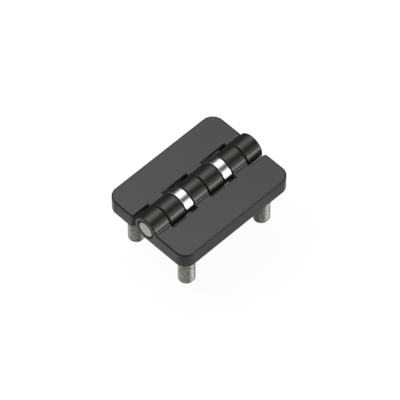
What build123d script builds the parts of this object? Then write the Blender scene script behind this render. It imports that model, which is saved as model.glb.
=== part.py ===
"""Leaf hinge: two interlocking castings on one pin, with thrust rings and cast-in studs.

Millimetres. The pin runs along Y, +Z is up, and the leaves lie flat with their mounting
faces at z = 0 and their studs pointing down. The origin is the centre of the stud pattern.
Knuckles from the near end (-Y) to the far end: right, left, ring, right, left, ring, right, left.
"""
import os
from math import asin, degrees, sqrt

from build123d import *

os.makedirs("parts", exist_ok=True)

# Barrel
knuckle_length = 7.1     # pitch of one knuckle, with its share of the running gaps
ring_slot = 3.7          # room between two knuckles for a thrust ring
barrel_diameter = 10.2
running_gap = 0.2        # between end faces that turn past each other

# Pin, bushes and rings
pin_diameter = 6.0
pin_chamfer = 0.15
pin_setback = 0.05       # each pin end below the knuckle's end face
bush_wall = 0.5
bush_clearance = 0.05    # radial play of the pin in a bush
ring_chamfer = 0.15

# Leaf casting
hinge_width = 37.5       # over both leaves, laid flat
leaf_thickness = 6.3
barrel_clearance = 1.05  # from the barrel to the cut-out in the opposite leaf
outer_corner = 4.5
inner_corner = 1.0       # free corner of a leaf beside the other leaf's end knuckle
seam_radius = 0.8        # where a leaf's top runs up onto its knuckle
edge_chamfer = 0.35      # all outer edges of the casting

# Cored pockets in the underside
rim_width = 2.0
pocket_depth = 3.3
pocket_corner = 1.2      # cut off each corner
rib_width = 1.6
boss_radius = 6.8        # solid metal kept round each stud

# Threaded studs, cast into the leaves by their hexagon heads
stud_diameter = 6.0
stud_length = 17.5       # below the mounting face
stud_tip_chamfer = 0.7
stud_neck = 5.3          # plain part between the head and the thread
stud_recess = 0.3        # round the thread in the mounting face, so that the leaf lies flat
stud_from_side = 6.75    # from a leaf's outer side to its studs
stud_from_end = 7.25     # from a leaf's ends to its studs
head_across_flats = 8.0
head_height = 3.0
head_depth = 1.2         # from the mounting face up to the head

# Worked-out sizes
half_length = 3 * knuckle_length + ring_slot
barrel_radius = barrel_diameter / 2
axis_height = barrel_radius
half_gap = running_gap / 2
bush_radius = pin_diameter / 2 + bush_clearance + bush_wall
wall_x = barrel_radius + barrel_clearance
leaf_width = hinge_width / 2 - wall_x
leaf_middle = wall_x + leaf_width / 2
stud_x = hinge_width / 2 - stud_from_side
stud_y = half_length - stud_from_end
web_end = wall_x + rim_width
top_above_axis = leaf_thickness - axis_height
seam_x = sqrt(barrel_radius**2 - top_above_axis**2)
seam_angle = degrees(asin(top_above_axis / barrel_radius))
pocket_length = stud_y - boss_radius - rib_width / 2
pocket_pitch = pocket_length + rib_width

# Start and end of each knuckle of the right leaf along the pin, near to far.
# The left leaf is the same casting turned half a turn about Z.
right_spans = [
    (-half_length, -half_length + knuckle_length - half_gap),
    (-knuckle_length + half_gap, -half_gap),
    (knuckle_length + ring_slot + half_gap, 2 * knuckle_length + ring_slot - half_gap),
]
left_spans = [(-end, -start) for start, end in reversed(right_spans)]


def is_outer_edge(edge):
    """True for the edges round a leaf's top and underside and round its knuckles' ends."""
    box = edge.bounding_box()
    straight = edge.geom_type == GeomType.LINE
    upright = straight and box.size.Z > edge_chamfer
    along_barrel = straight and box.size.Y > edge_chamfer and box.max.X < wall_x - edge_chamfer
    return not (upright or along_barrel)


# Right leaf: a flat plate with three webs that run into its knuckles
with BuildPart() as right_leaf:
    with BuildSketch(Plane.XY):
        with Locations((leaf_middle, 0)):
            Rectangle(leaf_width, 2 * half_length)
    extrude(amount=leaf_thickness)
    for start, end in right_spans:
        with BuildSketch(Plane.XZ.offset(-start)) as knuckle_profile:
            with BuildLine():
                CenterArc((0, axis_height), barrel_radius, seam_angle, 270 - seam_angle)
                Polyline((0, 0), (web_end, 0), (web_end, leaf_thickness), (seam_x, leaf_thickness))
            make_face()
            seam = knuckle_profile.vertices().sort_by_distance((seam_x, leaf_thickness))[0]
            fillet(seam, seam_radius)
        extrude(amount=start - end)
    fillet(right_leaf.edges().filter_by(Axis.Z).group_by(Axis.X)[-1], outer_corner)
    fillet(right_leaf.edges().filter_by(Axis.Z).group_by(Axis.Y)[-1].sort_by(Axis.X)[0], inner_corner)
    chamfer(right_leaf.edges().filter_by(is_outer_edge), edge_chamfer)
    with BuildSketch(Plane.XZ):
        with Locations((0, axis_height)):
            Circle(bush_radius)
    extrude(amount=half_length, both=True, mode=Mode.SUBTRACT)
    with BuildSketch(Plane.XY) as pockets:
        with Locations((leaf_middle, 0)):
            with GridLocations(0, pocket_pitch, 1, 2):
                Rectangle(leaf_width - 2 * rim_width, pocket_length)
        chamfer(pockets.vertices(), pocket_corner)
    extrude(amount=pocket_depth, mode=Mode.SUBTRACT)
    with Locations(-Plane.XY):
        with Locations((stud_x, 0)):
            with GridLocations(0, 2 * stud_y, 1, 2):
                CounterSinkHole(stud_neck / 2, stud_diameter / 2 + stud_recess, head_depth, 90)
    with BuildSketch(Plane.XY.offset(head_depth)):
        with Locations((stud_x, 0)):
            with GridLocations(0, 2 * stud_y, 1, 2):
                RegularPolygon(head_across_flats / 2, 6, major_radius=False)
    extrude(amount=head_height, mode=Mode.SUBTRACT)

right_leaf.part.label = "right_leaf"
export_step(right_leaf.part, "parts/right_leaf.step")

# Left leaf: the same casting, turned half a turn
with BuildPart() as left_leaf:
    add(right_leaf.part, rotation=(0, 0, 180))

left_leaf.part.label = "left_leaf"
export_step(left_leaf.part, "parts/left_leaf.step")

# Pin: a plain ground rod, nearly flush at both ends
with BuildPart() as hinge_pin:
    with BuildSketch(Plane.XZ):
        with Locations((0, axis_height)):
            Circle(pin_diameter / 2)
    extrude(amount=half_length - pin_setback, both=True)
    chamfer(hinge_pin.edges().filter_by(GeomType.CIRCLE), pin_chamfer)

hinge_pin.part.label = "hinge_pin"
export_step(hinge_pin.part, "parts/hinge_pin.step")

# Bushes: one sleeve pressed into each knuckle, flush with its end faces
for side, spans in (("right", right_spans), ("left", left_spans)):
    for place, (start, end) in zip(("near", "middle", "far"), spans):
        with BuildPart() as bush:
            with BuildSketch(Plane.XZ.offset(-start)):
                with Locations((0, axis_height)):
                    Circle(bush_radius)
                    Circle(bush_radius - bush_wall, mode=Mode.SUBTRACT)
            extrude(amount=start - end)
        bush.part.label = f"{side}_bush_{place}"
        export_step(bush.part, f"parts/{bush.part.label}.step")

# Thrust rings: pressed on the pin, as large as the barrel
ring_width = ring_slot - running_gap
ring_middle = knuckle_length + ring_slot / 2
for place, middle in (("near", -ring_middle), ("far", ring_middle)):
    with BuildPart() as ring:
        with BuildSketch(Plane.XZ.offset(-middle)):
            with Locations((0, axis_height)):
                Circle(barrel_radius)
                Circle(pin_diameter / 2, mode=Mode.SUBTRACT)
        extrude(amount=ring_width / 2, both=True)
        chamfer(ring.edges().filter_by(GeomType.CIRCLE).sort_by(SortBy.RADIUS)[-2:], ring_chamfer)
    ring.part.label = f"thrust_ring_{place}"
    export_step(ring.part, f"parts/{ring.part.label}.step")

# Studs: a hexagon head inside the casting, a plain neck and a threaded shank with a chamfered tip
for side, side_sign in (("left", -1), ("right", 1)):
    for place, end_sign in (("near", -1), ("far", 1)):
        stud_at = (side_sign * stud_x, end_sign * stud_y)
        with BuildPart() as stud:
            with BuildSketch(Plane.XY.offset(head_depth)):
                with Locations(stud_at):
                    RegularPolygon(head_across_flats / 2, 6, major_radius=False)
            extrude(amount=head_height)
            with BuildSketch(Plane.XY.offset(head_depth)):
                with Locations(stud_at):
                    Circle(stud_neck / 2)
            extrude(amount=-head_depth)
            with BuildSketch(Plane.XY):
                with Locations(stud_at):
                    Circle(stud_diameter / 2)
            extrude(amount=-stud_length)
            chamfer(stud.faces().sort_by(Axis.Z)[0].edges(), stud_tip_chamfer)
        stud.part.label = f"{side}_stud_{place}"
        export_step(stud.part, f"parts/{stud.part.label}.step")
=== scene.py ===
import math

import bpy
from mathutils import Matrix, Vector


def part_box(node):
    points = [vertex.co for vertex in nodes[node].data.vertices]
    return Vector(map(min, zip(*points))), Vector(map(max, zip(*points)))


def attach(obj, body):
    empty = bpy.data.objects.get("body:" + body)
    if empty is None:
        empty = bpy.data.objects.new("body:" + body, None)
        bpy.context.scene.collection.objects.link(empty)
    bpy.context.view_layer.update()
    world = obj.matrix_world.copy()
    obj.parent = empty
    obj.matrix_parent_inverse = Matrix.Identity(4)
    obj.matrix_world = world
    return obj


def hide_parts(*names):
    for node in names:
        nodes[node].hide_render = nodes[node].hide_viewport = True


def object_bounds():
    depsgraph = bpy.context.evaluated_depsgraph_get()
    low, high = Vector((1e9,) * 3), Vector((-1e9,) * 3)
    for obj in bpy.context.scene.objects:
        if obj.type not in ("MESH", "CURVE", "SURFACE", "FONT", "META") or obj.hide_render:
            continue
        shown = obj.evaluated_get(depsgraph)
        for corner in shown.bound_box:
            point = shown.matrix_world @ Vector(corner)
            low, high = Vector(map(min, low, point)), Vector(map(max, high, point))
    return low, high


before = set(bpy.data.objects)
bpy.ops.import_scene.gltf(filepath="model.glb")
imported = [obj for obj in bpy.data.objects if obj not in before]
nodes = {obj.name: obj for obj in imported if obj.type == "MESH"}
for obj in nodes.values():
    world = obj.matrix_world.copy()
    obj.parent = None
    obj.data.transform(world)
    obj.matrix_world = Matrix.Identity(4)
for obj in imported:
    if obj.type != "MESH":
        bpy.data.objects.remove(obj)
cad_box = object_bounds()

# Leaf castings: two equal zinc die castings whose knuckles interlock round the pin.
# They have a thin black coat with a satin sheen and a fine grain, a little smoother and warmer
# on the knuckles and duller on the edges, which have the small rounding that a coat leaves.


class Wire:
    """A node's socket: arithmetic on it adds Math nodes, and add() makes any other node."""

    def __init__(self, tree, socket=None):
        self.tree = tree
        self.socket = socket

    def add(self, kind, settings=None, inputs=None, output=0):
        """Adds a node: its settings come first, then a value or links for each input."""
        node = self.tree.nodes.new(kind)
        for name, value in (settings or {}).items():
            setattr(node, name, value)
        for key, value in (inputs or {}).items():
            links = value if isinstance(value, list) else [value]
            for link in links:
                if isinstance(link, Wire):
                    self.tree.links.new(link.socket, node.inputs[key])
                else:
                    node.inputs[key].default_value = link
        return Wire(self.tree, node.outputs[output] if node.outputs else None)

    def math(self, operation, *values):
        return self.add("ShaderNodeMath", {"operation": operation}, dict(enumerate(values)))

    def limit(self, low, high):
        return self.math("MINIMUM", self.math("MAXIMUM", self, low), high)

    def __add__(self, other):
        return self.math("ADD", self, other)

    def __radd__(self, other):
        return self.math("ADD", other, self)

    def __sub__(self, other):
        return self.math("SUBTRACT", self, other)

    def __rsub__(self, other):
        return self.math("SUBTRACT", other, self)

    def __mul__(self, other):
        return self.math("MULTIPLY", self, other)

    def __rmul__(self, other):
        return self.math("MULTIPLY", other, self)

    def __truediv__(self, other):
        return self.math("DIVIDE", self, other)

    def __rtruediv__(self, other):
        return self.math("DIVIDE", other, self)


def new_finish(name):
    """An empty material, and a wire on its tree to add nodes with."""
    material = bpy.data.materials.new(name)
    material.use_nodes = True
    material.node_tree.nodes.clear()
    return material, Wire(material.node_tree)


def blend(wire, amount, low, high):
    """A colour between two, by an amount that changes over the surface."""
    settings = {"data_type": "RGBA", "blend_type": "MIX"}
    return wire.add("ShaderNodeMix", settings, {0: amount, 6: (*low, 1), 7: (*high, 1)}, 2)


def from_pin_axis(wire, place):
    """Distance of a place from the pin's axis, which runs along Y."""
    pin_low, pin_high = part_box("hinge_pin")
    axis = (0, 0, (pin_low.z + pin_high.z) / 2)
    offset = wire.add("ShaderNodeVectorMath", {"operation": "SUBTRACT"}, {0: place, 1: axis})
    across = wire.add("ShaderNodeVectorMath", {"operation": "MULTIPLY"}, {0: offset, 1: (1, 0, 1)})
    return wire.add("ShaderNodeVectorMath", {"operation": "LENGTH"}, {0: across}, "Value")


knuckle_reach = 0.0058     # from the pin's axis to where the plate's finish begins
finish_change = 0.0004     # over which the knuckles' finish turns into the plate's
knuckle_rounding = 0.0002
plate_rounding = 0.0006

black_coat, coat = new_finish("black_coat")
coat_place = coat.add("ShaderNodeTexCoord", output="Object")
coat_grain = coat.add(
    "ShaderNodeTexNoise", {}, {"Vector": coat_place, "Scale": 2400, "Detail": 3, "Roughness": 0.6}
)
coat_cloud = coat.add("ShaderNodeTexNoise", {}, {"Vector": coat_place, "Scale": 240, "Detail": 2})
on_plate = ((from_pin_axis(coat, coat_place) - knuckle_reach) / finish_change).limit(0, 1)
knuckle_edge = coat.add("ShaderNodeBevel", {"samples": 6}, {"Radius": knuckle_rounding})
plate_edge = coat.add("ShaderNodeBevel", {"samples": 6}, {"Radius": plate_rounding})
coat_edge = coat.add(
    "ShaderNodeMix", {"data_type": "VECTOR"}, {0: on_plate, 4: knuckle_edge, 5: plate_edge}, 1
)
coat_face = coat.add("ShaderNodeNewGeometry", output="Normal")
coat_rub = 1 - coat.add(
    "ShaderNodeVectorMath", {"operation": "DOT_PRODUCT"}, {0: coat_edge, 1: coat_face}, "Value"
)
coat_shade = (coat_grain * 0.6 + coat_cloud * 0.4).limit(0, 1)
knuckle_colour = blend(coat, coat_shade, (0.015, 0.015, 0.0115), (0.020, 0.020, 0.016))
plate_colour = blend(coat, coat_shade, (0.0115, 0.0115, 0.0115), (0.0165, 0.0165, 0.0165))
coat_colour = coat.add(
    "ShaderNodeMix", {"data_type": "RGBA"}, {0: on_plate, 6: knuckle_colour, 7: plate_colour}, 2
)
edge_dulling = (coat_rub * 8).limit(0, 0.35)
coat_rough = 0.16 + on_plate * 0.06 + coat_grain * 0.04 + coat_cloud * 0.03 + edge_dulling
coat_relief = coat.add(
    "ShaderNodeBump",
    {},
    {"Strength": 1.0, "Distance": 6e-6, "Height": coat_grain, "Normal": coat_edge},
)
coat_shader = coat.add(
    "ShaderNodeBsdfPrincipled",
    {},
    {
        "Base Color": coat_colour,
        "Roughness": coat_rough,
        "Normal": coat_relief,
        "Specular IOR Level": 0.5,
    },
)
coat.add("ShaderNodeOutputMaterial", {}, {"Surface": coat_shader})
for leaf in ("left_leaf", "right_leaf"):
    nodes[leaf].material_slots[0].material = black_coat

# Bushes: six thin sleeves of black self-lubricating polymer, one pressed into each knuckle.
# Only the end faces of the outermost two show, as the dark line round the pin's ends.
polymer_bush, bush = new_finish("polymer_bush")
bush_place = bush.add("ShaderNodeTexCoord", output="Object")
bush_grain = bush.add("ShaderNodeTexNoise", {}, {"Vector": bush_place, "Scale": 6000, "Detail": 2})
bush_colour = blend(bush, bush_grain, (0.006, 0.006, 0.006), (0.014, 0.014, 0.014))
bush_relief = bush.add("ShaderNodeBump", {}, {"Strength": 1.0, "Distance": 3e-6, "Height": bush_grain})
bush_shader = bush.add(
    "ShaderNodeBsdfPrincipled",
    {},
    {
        "Base Color": bush_colour,
        "Roughness": 0.5 + bush_grain * 0.2,
        "Normal": bush_relief,
        "Specular IOR Level": 0.05,
    },
)
bush.add("ShaderNodeOutputMaterial", {}, {"Surface": bush_shader})
for side in ("left", "right"):
    for place in ("near", "middle", "far"):
        nodes[f"{side}_bush_{place}"].material_slots[0].material = polymer_bush

# Hinge pin: a ground steel rod through all six knuckles, faced on a lathe at both ends.
# The facing tool leaves fine rings round the middle of each end.
ground_pin, pin = new_finish("ground_pin")
pin_place = pin.add("ShaderNodeTexCoord", output="Object")
pin_radius = from_pin_axis(pin, pin_place)
pin_rings = pin.add(
    "ShaderNodeTexNoise",
    {"noise_dimensions": "1D"},
    {"W": pin_radius, "Scale": 16000, "Detail": 2, "Roughness": 0.7},
)
pin_stain = pin.add("ShaderNodeTexNoise", {}, {"Vector": pin_place, "Scale": 700, "Detail": 3})
pin_shade = (pin_stain * 0.7 + pin_rings * 0.3).limit(0, 1)
pin_colour = blend(pin, pin_shade, (0.48, 0.48, 0.47), (0.66, 0.66, 0.65))
pin_relief = pin.add("ShaderNodeBump", {}, {"Strength": 1.0, "Distance": 1.5e-6, "Height": pin_rings})
pin_shader = pin.add(
    "ShaderNodeBsdfPrincipled",
    {},
    {
        "Base Color": pin_colour,
        "Metallic": 1.0,
        "Roughness": 0.26 + pin_stain * 0.12,
        "Normal": pin_relief,
    },
)
pin.add("ShaderNodeOutputMaterial", {}, {"Surface": pin_shader})
nodes["hinge_pin"].material_slots[0].material = ground_pin

# Thrust rings: two stainless rings pressed on the pin, turned to the barrel's size and
# polished, so that only faint lines of the turning tool run round them.
polished_ring, ring = new_finish("polished_ring")
ring_place = ring.add("ShaderNodeTexCoord", output="Object")
ring_lines = ring.add(
    "ShaderNodeTexNoise",
    {},
    {
        "Vector": ring.add("ShaderNodeMapping", {}, {"Vector": ring_place, "Scale": (60, 14000, 60)}),
        "Scale": 1.0,
        "Detail": 2,
    },
)
ring_haze = ring.add("ShaderNodeTexNoise", {}, {"Vector": ring_place, "Scale": 500, "Detail": 2})
ring_colour = blend(ring, ring_haze, (0.84, 0.84, 0.83), (0.90, 0.90, 0.89))
ring_relief = ring.add("ShaderNodeBump", {}, {"Strength": 1.0, "Distance": 4e-7, "Height": ring_lines})
ring_shader = ring.add(
    "ShaderNodeBsdfPrincipled",
    {},
    {
        "Base Color": ring_colour,
        "Metallic": 1.0,
        "Roughness": 0.10 + ring_lines * 0.05,
        "Normal": ring_relief,
    },
)
ring.add("ShaderNodeOutputMaterial", {}, {"Surface": ring_shader})
for place in ("near", "far"):
    nodes[f"thrust_ring_{place}"].material_slots[0].material = polished_ring

# Studs: four steel studs with a rolled M6 thread under a dull zinc plate, whose hexagon heads
# are cast into the leaves. The thread runs out into a plain neck at the mounting face.
# The thread's roots carry painted shade: their colour is darkened by their depth.
stud_sizes = {
    "Length": 0.01749,
    "Pitch": 0.001,
    "Crest": 0.00298,
    "Root": 0.00248,
    "Neck": 0.00265,
    "Neck Length": 0.0012,
    "Run Out": 0.0006,
    "Tip": 0.0007,
    "Head Flats": 0.008,
    "Head Height": 0.003,
    "Across": 0.0,
    "Along": 0.0,
}
root_flat = 1 / 4          # shares of the pitch, as on any metric thread
crest_flat = 1 / 8
around = 48                # faces round the thread
per_turn = 16              # rows of faces in one pitch
end_rows = 4               # the tip's middle, the end of the last turn, the neck's top and its middle
rows = round((stud_sizes["Length"] / stud_sizes["Pitch"] + 1) * per_turn) + end_rows

zinc_thread, zinc = new_finish("zinc_thread")
zinc_place = zinc.add("ShaderNodeTexCoord", output="Object")
zinc_depth = zinc.add("ShaderNodeAttribute", {"attribute_name": "thread_depth"}, {}, "Fac")
zinc_cloud = zinc.add("ShaderNodeTexNoise", {}, {"Vector": zinc_place, "Scale": 900, "Detail": 4})
zinc_speck = zinc.add("ShaderNodeTexNoise", {}, {"Vector": zinc_place, "Scale": 9000, "Detail": 2})
zinc_mottle = ((zinc_cloud - 0.5) * 3 + 0.5).limit(0, 1)
# Painted shade: the plate's random mottle, plus the thread's roots darkened by their depth towards the
# near-black colour below.
zinc_mottle_and_root_shade = (zinc_mottle * 0.5 + zinc_depth * 0.6 - 0.1).limit(0, 1)
zinc_colour = blend(zinc, zinc_mottle_and_root_shade, (0.80, 0.79, 0.74), (0.11, 0.1, 0.07))
zinc_relief = zinc.add("ShaderNodeBump", {}, {"Strength": 1.0, "Distance": 2e-6, "Height": zinc_speck})
zinc_shader = zinc.add(
    "ShaderNodeBsdfPrincipled",
    {},
    {
        "Base Color": zinc_colour,
        "Metallic": 1.0,
        "Roughness": 0.3 + zinc_cloud * 0.12 + zinc_depth * 0.1,
        "Normal": zinc_relief,
    },
)
zinc.add("ShaderNodeOutputMaterial", {}, {"Surface": zinc_shader})

stud_tree = bpy.data.node_groups.new("threaded_stud", "GeometryNodeTree")
stud_tree.interface.new_socket("Geometry", in_out="OUTPUT", socket_type="NodeSocketGeometry")
for name in stud_sizes:
    stud_tree.interface.new_socket(name, in_out="INPUT", socket_type="NodeSocketFloat")
stud_tree.interface.new_socket("Steel", in_out="INPUT", socket_type="NodeSocketMaterial")
stud = Wire(stud_tree)


def stud_size(name):
    return stud.add("NodeGroupInput", output=name)


sheet = stud.add(
    "GeometryNodeMeshGrid",
    {},
    {"Size X": 1.0, "Size Y": 1.0, "Vertices X": around + 1, "Vertices Y": rows},
)
sheet_place = stud.add("GeometryNodeInputPosition")
turn = stud.add("ShaderNodeSeparateXYZ", {}, {"Vector": sheet_place}, "X") + 0.5
row = stud.math(
    "ROUND", (stud.add("ShaderNodeSeparateXYZ", {}, {"Vector": sheet_place}, "Y") + 0.5) * (rows - 1)
)
climb = (row - (per_turn + 1)) / per_turn
height = stud.math(
    "MINIMUM",
    stud.math("MAXIMUM", (climb + turn) * stud_size("Pitch"), 0),
    stud_size("Length"),
)
from_root = stud.math("ABSOLUTE", stud.math("FRACT", climb) - 0.5) * 2
flank = ((from_root - root_flat) / (1 - root_flat - crest_flat)).limit(0, 1)
thread_height = stud_size("Crest") - stud_size("Root")
thread_radius = stud_size("Root") + thread_height * flank
tip_radius = stud.math("MINIMUM", thread_radius, stud_size("Crest") - stud_size("Tip") + height)
faded = ((height - stud_size("Length") + stud_size("Run Out")) / stud_size("Run Out")).limit(0, 1)
wall_radius = tip_radius + (stud_size("Neck") - tip_radius) * faded
inside = stud.math("GREATER_THAN", row, 0.5) * stud.math("LESS_THAN", row, rows - 1.5)
neck_top = stud.math("GREATER_THAN", row, rows - 2.5)
stud_point = stud.add(
    "ShaderNodeCombineXYZ",
    {},
    {
        "X": wall_radius * inside * stud.math("COSINE", turn * math.tau),
        "Y": wall_radius * inside * stud.math("SINE", turn * math.tau),
        "Z": height - stud_size("Length") + neck_top * stud_size("Neck Length"),
    },
)
sheet = stud.add(
    "GeometryNodeStoreNamedAttribute",
    {"data_type": "FLOAT", "domain": "POINT"},
    {
        "Geometry": sheet,
        "Name": "thread_depth",
        "Value": ((stud_size("Crest") - wall_radius) / thread_height).limit(0, 1),
    },
)
sheet = stud.add("GeometryNodeSetPosition", {}, {"Geometry": sheet, "Position": stud_point})
sheet = stud.add("GeometryNodeMergeByDistance", {}, {"Geometry": sheet, "Distance": 2e-6})
sheet = stud.add("GeometryNodeSetShadeSmooth", {}, {"Geometry": sheet})
head = stud.add(
    "GeometryNodeMeshCylinder",
    {},
    {
        "Vertices": 6,
        "Radius": stud_size("Head Flats") / math.sqrt(3),
        "Depth": stud_size("Head Height"),
    },
)
head = stud.add(
    "GeometryNodeTransform",
    {},
    {
        "Geometry": head,
        "Translation": stud.add(
            "ShaderNodeCombineXYZ", {}, {"Z": stud_size("Neck Length") + stud_size("Head Height") / 2}
        ),
    },
)
whole_stud = stud.add("GeometryNodeJoinGeometry", {}, {"Geometry": [sheet, head]})
stud_places = stud.add(
    "GeometryNodeMeshLine",
    {"mode": "OFFSET"},
    {
        "Count": 2,
        "Start Location": stud.add(
            "ShaderNodeCombineXYZ", {}, {"X": stud_size("Across"), "Y": 0 - stud_size("Along")}
        ),
        "Offset": stud.add("ShaderNodeCombineXYZ", {}, {"Y": stud_size("Along") * 2}),
    },
)
studs = stud.add("GeometryNodeInstanceOnPoints", {}, {"Points": stud_places, "Instance": whole_stud})
studs = stud.add("GeometryNodeRealizeInstances", {}, {"Geometry": studs})
studs = stud.add("GeometryNodeSetMaterial", {}, {"Geometry": studs, "Material": stud_size("Steel")})
stud.add("NodeGroupOutput", {}, {"Geometry": studs})

for side, body in (("left", "frame_side"), ("right", "door_side")):
    low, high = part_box(f"{side}_stud_far")
    pair = bpy.data.objects.new(f"{side}_studs", bpy.data.meshes.new(f"{side}_studs"))
    bpy.context.scene.collection.objects.link(pair)
    thread = pair.modifiers.new("thread", "NODES")
    thread.node_group = stud_tree
    values = {
        **stud_sizes,
        "Across": (low.x + high.x) / 2,
        "Along": (low.y + high.y) / 2,
        "Steel": zinc_thread,
    }
    for item in stud_tree.interface.items_tree:
        if item.in_out == "INPUT":
            thread[item.identifier] = values[item.name]
    made = bpy.data.meshes.new_from_object(pair.evaluated_get(bpy.context.evaluated_depsgraph_get()))
    pair.modifiers.remove(thread)
    pair.data = made
    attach(pair, body)
    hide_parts(f"{side}_stud_near", f"{side}_stud_far")

# Floor: a wide pale sheet, low enough to clear the stud tips when the hinge turns, which keeps
# a faint shadow. It is clear from below, so that the mounting side can be looked at. Only its
# middle shows in reflections, and a strip under the barrel by half, so that the gaps stay dark.
floor_half = 1.6
floor_drop = 0.003         # below the stud tips at rest
floor_level = cad_box[0].z - floor_drop
shown_reach = 0.045        # from the hinge's middle, as far as reflections show the floor
shown_fade = 0.02
strip_half_width = 0.010
strip_half_length = 0.026
strip_dimming = 0.5
floor_mesh = bpy.data.meshes.new("floor")
floor_mesh.from_pydata(
    [(x * floor_half, y * floor_half, floor_level) for x, y in ((-1, -1), (1, -1), (1, 1), (-1, 1))],
    [],
    [(0, 1, 2, 3)],
)
floor = bpy.data.objects.new("floor", floor_mesh)
bpy.context.scene.collection.objects.link(floor)
white_floor, ground = new_finish("white_floor")
camera_ray, glossy_ray, clear_ray = (
    ground.add("ShaderNodeLightPath", output=f"Is {kind} Ray")
    for kind in ("Camera", "Glossy", "Transmission")
)
floor_place = ground.add("ShaderNodeTexCoord", output="Object")
from_hinge = ground.add("ShaderNodeVectorMath", {"operation": "LENGTH"}, {0: floor_place}, "Value")
from_barrel, from_middle = (
    ground.math("ABSOLUTE", ground.add("ShaderNodeSeparateXYZ", {}, {"Vector": floor_place}, axis))
    for axis in ("X", "Y")
)
beside_barrel = ground.math("LESS_THAN", from_barrel, strip_half_width)
under_barrel = beside_barrel * ground.math("LESS_THAN", from_middle, strip_half_length)
within_reach = 1 - ((from_hinge - shown_reach) / shown_fade).limit(0, 1)
near_hinge = within_reach * (1 - under_barrel * strip_dimming)
glowing = (camera_ray * 0.9 + clear_ray * 0.9 + glossy_ray * 0.14).limit(0, 0.9)
matte = ground.add("ShaderNodeBsdfDiffuse", {}, {"Color": (0.75, 0.75, 0.75, 1)})
glow = ground.add("ShaderNodeEmission", {}, {"Color": (1, 1, 1, 1), "Strength": 1.05})
sheet_top = ground.add("ShaderNodeMixShader", {}, {0: glowing, 1: matte, 2: glow})
sheet_back = ground.add("ShaderNodeBsdfTransparent")
from_below = ground.add("ShaderNodeNewGeometry", output="Backfacing")
passed = (from_below + glossy_ray * (1 - near_hinge)).limit(0, 1)
floor_shader = ground.add("ShaderNodeMixShader", {}, {0: passed, 1: sheet_top, 2: sheet_back})
ground.add("ShaderNodeOutputMaterial", {}, {"Surface": floor_shader})
floor.data.materials.append(white_floor)

# Studio: a dark room with two large soft lights towards the far end, one high on the left and
# one low on the right, weaker ones round it, and soft boxes on the left and overhead, which even
# out the light and show in no reflection. The camera sees white.
studio = bpy.data.worlds.new("studio")
bpy.context.scene.world = studio
studio.use_nodes = True
studio.node_tree.nodes.clear()
room = Wire(studio.node_tree)
direction = room.add("ShaderNodeTexCoord", output="Generated")
east, north, up = (
    room.add("ShaderNodeSeparateXYZ", {}, {"Vector": direction}, axis) for axis in ("X", "Y", "Z")
)
tilt = room.math("ARCTAN2", up, east)


def soft_light(level, north_middle, north_spread, tilt_middle=0, tilt_spread=None):
    """A light that fades out from its middle, placed by its share of north and by its tilt.

    The tilt is in degrees round the pin's axis, up from the right. A light without one goes all
    the way round.
    """
    off = (north - north_middle) / north_spread
    fall = off * off
    if tilt_spread:
        turned = (tilt - math.radians(tilt_middle)) / math.radians(tilt_spread)
        fall = fall + turned * turned
    return level * room.math("EXPONENT", 0 - fall)


lights = (
    0.02
    + soft_light(3.75, 0.25, 0.22, 110, 25)
    + soft_light(8.8, 0.25, 0.22, 7, 11)
    + soft_light(1.9, 0.25, 0.22, 33, 15)
    + soft_light(1.0, -0.25, 0.30, 150, 30)
    + soft_light(0.3, -0.42, 0.25, 62, 25)
    + soft_light(0.5, 1.0, 0.30)
    + soft_light(0.4, -1.0, 0.40)
)
camera_sees = room.add("ShaderNodeLightPath", output="Is Camera Ray")
surround = room.add(
    "ShaderNodeBackground",
    {},
    {"Color": (1, 1, 1, 1), "Strength": lights + (1 - lights) * camera_sees},
)
room.add("ShaderNodeOutputWorld", {}, {"Surface": surround})


def soft_box(name, towards, distance, width, height, power):
    lamp = bpy.data.lights.new(name, "AREA")
    lamp.shape = "RECTANGLE"
    lamp.size = width
    lamp.size_y = height
    lamp.energy = power
    box = bpy.data.objects.new(name, lamp)
    bpy.context.scene.collection.objects.link(box)
    towards = Vector(towards).normalized()
    box.location = towards * distance
    box.rotation_euler = towards.to_track_quat("Z", "Y").to_euler()
    box.visible_camera = False
    box.visible_glossy = False


soft_box("left_box", (-0.66, -0.48, 0.57), 0.65, 0.5, 0.5, 0.8)
soft_box("top_box", (-0.35, -0.25, 0.9), 0.65, 0.5, 0.5, 1.1)

# Camera: a long lens at the photograph's viewing angle, high above the near right corner.
camera_aim = Vector((0.002863, -0.0024526, 0.0029473))
camera_distance = 1.2
azimuth = math.radians(45.3362)
elevation = math.radians(53.6515)
camera = bpy.data.objects.new("camera", bpy.data.cameras.new("camera"))
bpy.context.scene.collection.objects.link(camera)
back = Vector(
    (
        math.sin(azimuth) * math.cos(elevation),
        -math.cos(azimuth) * math.cos(elevation),
        math.sin(elevation),
    )
)
camera.location = camera_aim + back * camera_distance
camera.rotation_euler = (-back).to_track_quat("-Z", "Y").to_euler()
camera.data.sensor_width = 36
camera.data.lens = 324.6
camera.data.clip_start = 0.05
camera.data.clip_end = 10
bpy.context.scene.camera = camera
bpy.context.scene.view_settings.view_transform = "Standard"
